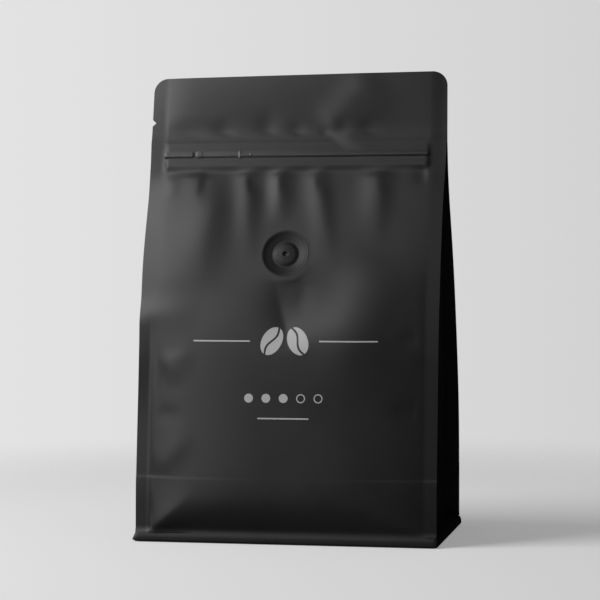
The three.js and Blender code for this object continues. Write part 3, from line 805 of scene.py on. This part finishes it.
def rim_on_film(point, radius):
    """Draws the rim of the flat valve onto the film, which is a little rounded."""
    flat = valve_seat.y + valve_slope * (point.z - valve_seat.z)
    drawn = (film_face(point.x, point.z) - flat) * float(smooth(radius, WALL_FOOT, VALVE_RADIUS))
    return point + Vector((0, drawn, 0))


def turned_mesh(name, profile, steps, seat, out, settle):
    """A profile of (radius, height) turned about a line out from a seat, each point then settled."""
    across = Vector((1, 0, 0))
    up = out.cross(across).normalized()
    points = []
    faces = []
    start = []
    for radius, height in profile:
        start.append(len(points))
        count = 1 if radius < 1e-6 else steps
        for k in range(count):
            angle = 2 * math.pi * k / steps
            aside = across * math.cos(angle) + up * math.sin(angle)
            points.append(settle(seat + out * height + aside * radius, radius) * MM)
    sizes = [b - a for a, b in zip(start, start[1:] + [len(points)])]
    for (a, size_a), (b, size_b) in zip(zip(start, sizes), zip(start[1:], sizes[1:])):
        for k in range(steps):
            n = (k + 1) % steps
            corners = [a + k % size_a, a + n % size_a, b + n % size_b, b + k % size_b]
            faces.append(list(dict.fromkeys(corners)))
    mesh = bpy.data.meshes.new(name)
    mesh.from_pydata(points, [], faces)
    mesh.shade_smooth()
    mesh.set_sharp_from_angle(angle=VALVE_SHARP)
    return mesh


valve_profile = rounded([
    (0.0, -VALVE_BACK),
    (WALL_FOOT, -VALVE_BACK),
    (VALVE_RADIUS, -RIM_BACK),
    (VALVE_RADIUS + RIM_OVER, -RIM_PROUD),
    (VALVE_RADIUS - RIM_INSIDE, RIM_PROUD),
    (WALL_FOOT, -DISH_DEEP),
    (CAP_FOOT, -DISH_DEEP - DISH_FALL),
    (CAP_TOP, -CAP_DEEP),
    (VENT_RADIUS + VENT_LIP, -CAP_DEEP + CAP_DOME),
    (VENT_RADIUS, -CAP_DEEP + CAP_DOME - VENT_FALL),
    (VENT_RADIUS, -DISH_DEEP - DISH_FALL),
    (0.0, -DISH_DEEP - DISH_FALL),
], VALVE_ROUND)
valve_mesh = turned_mesh("valve_disc", valve_profile, VALVE_STEPS, valve_seat, valve_out, rim_on_film)
valve = in_scene("valve_disc", valve_mesh)
valve_finish = plastic_material(
    "satin_black_valve",
    VALVE_BLACK,
    VALVE_WORN,
    rough=0.40,
    gloss=0.32,
    mottle_scale=300.0,
    grain_scale=3000.0,
    grain_depth=0.00003,
)
valve.data.materials.append(valve_finish)
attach(valve, "root")
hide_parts("degassing_valve")

# The tear strip and its pull tab. A thin black plastic bead welded along the zip band; its left end is cut
# loose as a tab to pull the strip off. Next to the cut it is thicker, and a cross weld and a pip show on it.
strip_low, strip_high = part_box("tear_strip")
tab_low, tab_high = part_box("pull_tab")
STRIP_Z = 165.8
STRIP_HEIGHT = 3.2
STRIP_PROUD = 0.45
TAB_EXTRA = 0.06
LEAN_REACH = 2
BEAD_TOP = 0.25
BEAD_RIDGE = -0.35
BEAD_SUNK = 0.2
BEAD_SOFT = 0.25
BEAD_STEP = 0.4
BEAD_SIDES = 24
END_BLUNT = 0.25
END_ROUND = 1.1
HAIR = 0.001
COLLAR_LONG = 2.8
COLLAR_EXTRA = 0.12
MARK_FIRST = -24.9
MARK_SPACING = 4.9
CROSS_WELD = (1.0, 0.56, 2.1)
PIP = (0.9, 0.6, 0.8)
STRIP_BLACK = (0.016, 0.016, 0.0165, 1)
STRIP_WORN = (0.026, 0.026, 0.027, 1)
# The paler colour of the cross weld and pip is a painted highlight, not a colour of their own.
WELD_PAINTED_HIGHLIGHT = (0.075, 0.075, 0.076, 1)


def combine(tree, x, y, z):
    return add_node(tree, "ShaderNodeCombineXYZ", X=x, Y=y, Z=z).outputs[0]


def position(tree):
    here = tree.nodes.new("GeometryNodeInputPosition").outputs[0]
    return add_node(tree, "ShaderNodeSeparateXYZ", Vector=here).outputs


def bead_tube(tree, given):
    """A tube along X of radius one, with rounded ends and a thicker first length."""
    left = combine(tree, given["Left"], 0.0, 0.0)
    right = combine(tree, given["Right"], 0.0, 0.0)
    line = add_node(tree, "GeometryNodeCurvePrimitiveLine", Start=left, End=right)
    fine = add_node(tree, "GeometryNodeResampleCurve", Curve=line.outputs[0])
    fine.mode = "LENGTH"
    fine.inputs["Length"].default_value = BEAD_STEP * MM
    x = position(tree)["X"]
    from_left = maths(tree, "SUBTRACT", x, given["Left"])
    from_end = maths(tree, "MINIMUM", from_left, maths(tree, "SUBTRACT", given["Right"], x))
    share = maths(tree, "DIVIDE", maths(tree, "ADD", from_end, END_BLUNT * MM), END_ROUND * MM)
    share = maths(tree, "MINIMUM", share, 1.0)
    round_end = maths(tree, "SQRT", maths(tree, "MULTIPLY", share, maths(tree, "SUBTRACT", 2.0, share)))
    collar = maths(tree, "LESS_THAN", from_left, given["Collar Long"])
    thicker = maths(tree, "MULTIPLY_ADD", collar, given["Collar Extra"], 1.0)
    radius = maths(tree, "MULTIPLY", round_end, thicker)
    section = add_node(tree, "GeometryNodeCurvePrimitiveCircle", Resolution=BEAD_SIDES, Radius=1.0)
    tube = add_node(tree, "GeometryNodeCurveToMesh", Curve=fine.outputs[0], Scale=radius, Fill_Caps=True)
    link(tree, section.outputs[0], tube.inputs["Profile Curve"])
    return tube.outputs[0]


def bead_wedge(tree, given, half_height):
    """Where the points of the tube go: in front to a ridge below the middle, behind to a flat back."""
    here = position(tree)
    wide = maths(tree, "DIVIDE", here["Y"], given["Proud"])
    tall = maths(tree, "DIVIDE", here["Z"], half_height)
    reach = maths(tree, "SQRT", maths(tree, "MULTIPLY_ADD", wide, wide, maths(tree, "MULTIPLY", tall, tall)))
    up = maths(tree, "DIVIDE", tall, maths(tree, "MAXIMUM", reach, HAIR))
    slope = (BEAD_TOP - 1) / (1 - BEAD_RIDGE)
    over = maths(tree, "MULTIPLY_ADD", up, slope, (1 - BEAD_TOP * BEAD_RIDGE) / (1 - BEAD_RIDGE))
    under = maths(tree, "MULTIPLY_ADD", up, 1 / (1 + BEAD_RIDGE), 1 / (1 + BEAD_RIDGE))
    profile = maths(tree, "SMOOTH_MIN", over, under, BEAD_SOFT)
    out = maths(tree, "MULTIPLY", profile, maths(tree, "MULTIPLY", reach, given["Proud"]))
    front = maths(tree, "LESS_THAN", here["Y"], HAIR * MM)
    back = maths(tree, "MULTIPLY", maths(tree, "SUBTRACT", 1.0, front), BEAD_SUNK * MM)
    depth = maths(tree, "SUBTRACT", back, maths(tree, "MULTIPLY", out, front))
    return combine(tree, here["X"], depth, here["Z"])


def bead_marks(tree, given):
    """The cross weld and then the pip: balls of their own proportions, marked for the paler colour that
    paints a highlight on them.
    """
    count = tree.nodes.new("GeometryNodeInputIndex").outputs[0]
    mark_x = maths(tree, "MULTIPLY_ADD", count, given["Mark Spacing"], given["Mark First"])
    place = combine(tree, mark_x, 0.0, 0.0)
    marks = add_node(tree, "GeometryNodePoints", Count=given["Marks"], Position=place)
    ball = add_node(tree, "GeometryNodeMeshUVSphere", Segments=20, Rings=12, Radius=MM)
    size = tree.nodes.new("ShaderNodeMix")
    size.data_type = "VECTOR"
    for name, value in (("Factor", count), ("A", given["Cross Weld"]), ("B", given["Pip"])):
        link(tree, value, size.inputs[name])
    placed = add_node(
        tree,
        "GeometryNodeInstanceOnPoints",
        Points=marks.outputs[0],
        Instance=ball.outputs[0],
        Scale=size.outputs["Result"],
    )
    real = add_node(tree, "GeometryNodeRealizeInstances", Geometry=placed.outputs[0])
    # This mark lets the strip's material paint the balls paler, as a painted highlight.
    pale = add_node(tree, "GeometryNodeStoreNamedAttribute", Geometry=real.outputs[0], Name="weld_painted_highlight")
    pale.inputs["Value"].default_value = 1.0
    return pale.outputs[0]


def bead_tree():
    """A bead along X that leans with the zip band, and the sockets that its sizes are set on."""
    tree = bpy.data.node_groups.new("bead_along_the_zip", "GeometryNodeTree")
    tree.interface.new_socket("Geometry", in_out="OUTPUT", socket_type="NodeSocketGeometry")
    kinds = dict.fromkeys(("Left", "Right", "Height", "Proud", "Lean", "Seat Y", "Seat Z"), "Float")
    kinds |= dict.fromkeys(("Collar Long", "Collar Extra", "Mark First", "Mark Spacing"), "Float")
    kinds |= {"Marks": "Int", "Cross Weld": "Vector", "Pip": "Vector", "Finish": "Material"}
    inputs = {}
    for name, kind in kinds.items():
        socket = tree.interface.new_socket(name, in_out="INPUT", socket_type="NodeSocket" + kind)
        inputs[name] = socket.identifier
    given = tree.nodes.new("NodeGroupInput").outputs

    half_height = maths(tree, "MULTIPLY", given["Height"], 0.5)
    size = combine(tree, 1.0, given["Proud"], half_height)
    sized = add_node(tree, "GeometryNodeTransform", Geometry=bead_tube(tree, given), Scale=size)
    wedge = bead_wedge(tree, given, half_height)
    drawn = add_node(tree, "GeometryNodeSetPosition", Geometry=sized.outputs[0], Position=wedge)
    both = tree.nodes.new("GeometryNodeJoinGeometry")
    for part in (drawn.outputs[0], bead_marks(tree, given)):
        link(tree, part, both.inputs[0])
    seated = add_node(
        tree,
        "GeometryNodeTransform",
        Geometry=both.outputs[0],
        Translation=combine(tree, 0.0, given["Seat Y"], given["Seat Z"]),
        Rotation=combine(tree, given["Lean"], 0.0, 0.0),
    )
    soft = add_node(tree, "GeometryNodeSetShadeSmooth", Geometry=seated.outputs[0])
    done = add_node(tree, "GeometryNodeSetMaterial", Geometry=soft.outputs[0], Material=given["Finish"])
    link(tree, done.outputs[0], tree.nodes.new("NodeGroupOutput").inputs[0])
    return tree, inputs


bead, bead_inputs = bead_tree()
strip_finish = plastic_material(
    "satin_black_tape",
    STRIP_BLACK,
    STRIP_WORN,
    rough=0.30,
    gloss=0.75,
    mottle_scale=200.0,
    grain_scale=3000.0,
    grain_depth=0.00003,
)
strip_tree = strip_finish.node_tree
strip_colour = strip_tree.nodes["Principled BSDF"].inputs["Base Color"]
# The cross weld and pip are coloured paler than the bead: a painted highlight on them.
weld_painted_highlight = strip_tree.nodes.new("ShaderNodeAttribute")
weld_painted_highlight.attribute_name = "weld_painted_highlight"
weld_with_painted_highlight = mixed_colour(strip_tree, weld_painted_highlight.outputs["Fac"], strip_colour.links[0].from_socket, WELD_PAINTED_HIGHLIGHT)
link(strip_tree, weld_with_painted_highlight, strip_colour)


def zip_face(z):
    """Where the front of the pouch lies at the zip, without its band."""
    return float(stance(0, z) - seal_depth(z))


zip_lean = math.atan2(zip_face(STRIP_Z + LEAN_REACH) - zip_face(STRIP_Z - LEAN_REACH), 2 * LEAN_REACH)


def grown(name, tree, inputs, values):
    """The plain mesh that a node tree makes with these values."""
    piece = in_scene(name, bpy.data.meshes.new(name))
    maker = piece.modifiers.new("maker", "NODES")
    maker.node_group = tree
    for label, value in values.items():
        maker[inputs[label]] = value
    made = piece.evaluated_get(bpy.context.evaluated_depsgraph_get())
    mesh = bpy.data.meshes.new_from_object(made)
    piece.modifiers.clear()
    piece.data = mesh
    mesh.name = name
    return piece


def bead_piece(name, node, low, high, proud, collar_extra, marks):
    piece = grown(name, bead, bead_inputs, {
        "Left": low.x,
        "Right": high.x,
        "Height": STRIP_HEIGHT * MM,
        "Proud": proud * MM,
        "Lean": -zip_lean,
        "Seat Y": (zip_face(STRIP_Z) - ZIP_RISE) * MM,
        "Seat Z": STRIP_Z * MM,
        "Collar Long": COLLAR_LONG * MM,
        "Collar Extra": collar_extra,
        "Mark First": MARK_FIRST * MM,
        "Mark Spacing": MARK_SPACING * MM,
        "Marks": marks,
        "Cross Weld": CROSS_WELD,
        "Pip": PIP,
        "Finish": strip_finish,
    })
    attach(piece, "root")
    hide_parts(node)


bead_piece("tear_strip_bead", "tear_strip", strip_low, strip_high, STRIP_PROUD, COLLAR_EXTRA, 2)
bead_piece("pull_tab_bead", "pull_tab", tab_low, tab_high, STRIP_PROUD + TAB_EXTRA, 0.0, 0)

# The studio. A pale floor that fades out into a pale surround. Soft boxes stand at the left and upper left,
# a weak one in front and one behind, and one more lights the floor alone. The camera stands a little to the
# right of the front.
FLOOR_PALE = (0.80, 0.80, 0.80, 1)
FLOOR_SIZE = 1.5
FLOOR_KEPT = 0.20
FLOOR_GONE = 0.45
FLOOR_GLOW = 0.33
SURROUND_LEFT = 0.77
SURROUND_RIGHT = 0.65
SURROUND_FROM = -0.34
SURROUND_TO = -0.07
AMBIENT = 0.12
LIGHT_AIM = Vector((0, 0, 0.12))

floor_mesh = bpy.data.meshes.new("floor")
floor_corners = [(x * FLOOR_SIZE, y * FLOOR_SIZE, 0) for x, y in ((-1, -1), (1, -1), (1, 1), (-1, 1))]
floor_mesh.from_pydata(floor_corners, [], [(0, 1, 2, 3)])
floor = in_scene("floor", floor_mesh)
floor.visible_glossy = False
floor.visible_diffuse = False
floor_finish = bpy.data.materials.new("pale_floor")
floor_finish.use_nodes = True
floor_tree = floor_finish.node_tree
floor_surface = floor_tree.nodes["Principled BSDF"].inputs
floor_surface["Base Color"].default_value = FLOOR_PALE
floor_surface["Roughness"].default_value = 1.0
floor_surface["Specular IOR Level"].default_value = 0.0
floor_surface["Emission Color"].default_value = FLOOR_PALE
floor_surface["Emission Strength"].default_value = FLOOR_GLOW
floor_place = floor_tree.nodes.new("ShaderNodeTexCoord")
floor_away = floor_tree.nodes.new("ShaderNodeVectorMath")
floor_away.operation = "LENGTH"
link(floor_tree, floor_place.outputs["Object"], floor_away.inputs[0])
floor_fade = add_node(floor_tree, "ShaderNodeMapRange", Value=floor_away.outputs["Value"])
floor_fade.interpolation_type = "SMOOTHSTEP"
for name, value in (("From Min", FLOOR_KEPT), ("From Max", FLOOR_GONE), ("To Min", 1.0), ("To Max", 0.0)):
    floor_fade.inputs[name].default_value = value
link(floor_tree, floor_fade.outputs["Result"], floor_surface["Alpha"])
floor.data.materials.append(floor_finish)
floor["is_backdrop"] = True

world = bpy.data.worlds.new("studio")
bpy.context.scene.world = world
world.use_nodes = True
sky = world.node_tree
backdrop = sky.nodes["Background"].inputs
backdrop["Color"].default_value = (1, 1, 1, 1)
ray = sky.nodes.new("ShaderNodeLightPath").outputs
sky_place = sky.nodes.new("ShaderNodeTexCoord").outputs["Generated"]
facing = add_node(sky, "ShaderNodeSeparateXYZ", Vector=sky_place)
pale = add_node(sky, "ShaderNodeMapRange", Value=facing.outputs["X"])
pale.inputs["From Min"].default_value = SURROUND_FROM
pale.inputs["From Max"].default_value = SURROUND_TO
pale.inputs["To Min"].default_value = SURROUND_LEFT
pale.inputs["To Max"].default_value = SURROUND_RIGHT
seen = maths(sky, "MULTIPLY", ray["Is Camera Ray"], pale.outputs["Result"])
link(sky, maths(sky, "MULTIPLY_ADD", ray["Is Diffuse Ray"], AMBIENT, seen), backdrop["Strength"])


def lit_only(name, objects):
    """A set of objects that a light may be kept to."""
    chosen = bpy.data.collections.new(name)
    for thing in objects:
        chosen.objects.link(thing)
    return chosen


def soft_light(name, azimuth, elevation, distance, width, height, radiance, receivers):
    """A soft box at an angle to the left of the front, aimed at the pouch and of a given brightness."""
    turn = math.radians(azimuth)
    rise = math.radians(elevation)
    out = Vector((-math.sin(turn) * math.cos(rise), -math.cos(turn) * math.cos(rise), math.sin(rise)))
    lamp = bpy.data.lights.new(name, "AREA")
    lamp.shape = "RECTANGLE"
    lamp.size = width
    lamp.size_y = height
    lamp.energy = radiance * math.pi * width * height
    light = in_scene(name, lamp)
    light.location = LIGHT_AIM + out * distance
    light.rotation_euler = out.to_track_quat("Z", "Y").to_euler()
    light.visible_camera = False
    light.light_linking.receiver_collection = receivers


the_pouch = lit_only("the_pouch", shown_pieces())
the_floor = lit_only("the_floor", [floor])
soft_light("key_upper_left", 45, 33, 0.85, 0.50, 0.50, 3.5, the_pouch)
soft_light("low_front_left", 33, 2, 0.85, 0.45, 0.26, 1.7, the_pouch)
soft_light("mid_left", 64, 22, 0.85, 0.30, 0.55, 1.6, the_pouch)
soft_light("far_left", 92, 4, 0.85, 0.30, 0.35, 2.4, the_pouch)
soft_light("top_left", 108, 62, 0.85, 0.40, 0.40, 2.0, the_pouch)
soft_light("front_fill", 5, 30, 0.85, 0.50, 0.50, 0.5, the_pouch)
soft_light("behind", 155, 40, 0.90, 0.60, 0.60, 2.5, the_pouch)
soft_light("floor_key", 62, 45, 0.85, 0.40, 0.40, 9.0, the_floor)

CAMERA_AZIMUTH = math.radians(11.8)
CAMERA_ELEVATION = math.radians(2.07)
CAMERA_ROLL = math.radians(-0.34)
CAMERA_DISTANCE = 0.9477
CAMERA_AIM = Vector((0.00004, 0, 0.10228))
CAMERA_LENS = 130.0
CAMERA_SENSOR = 36.0

camera = in_scene("camera", bpy.data.cameras.new("camera"))
camera.data.lens = CAMERA_LENS
camera.data.sensor_width = CAMERA_SENSOR
camera_out = Vector((
    math.sin(CAMERA_AZIMUTH) * math.cos(CAMERA_ELEVATION),
    -math.cos(CAMERA_AZIMUTH) * math.cos(CAMERA_ELEVATION),
    math.sin(CAMERA_ELEVATION),
))
level_right = Vector((math.cos(CAMERA_AZIMUTH), math.sin(CAMERA_AZIMUTH), 0))
level_up = camera_out.cross(level_right)
camera_right = level_right * math.cos(CAMERA_ROLL) + level_up * math.sin(CAMERA_ROLL)
camera_up = level_up * math.cos(CAMERA_ROLL) - level_right * math.sin(CAMERA_ROLL)
camera_turn = Matrix((camera_right, camera_up, camera_out)).transposed()
camera.matrix_world = Matrix.Translation(CAMERA_AIM + camera_out * CAMERA_DISTANCE) @ camera_turn.to_4x4()
bpy.context.scene.camera = camera
bpy.context.scene.view_settings.view_transform = "Standard"
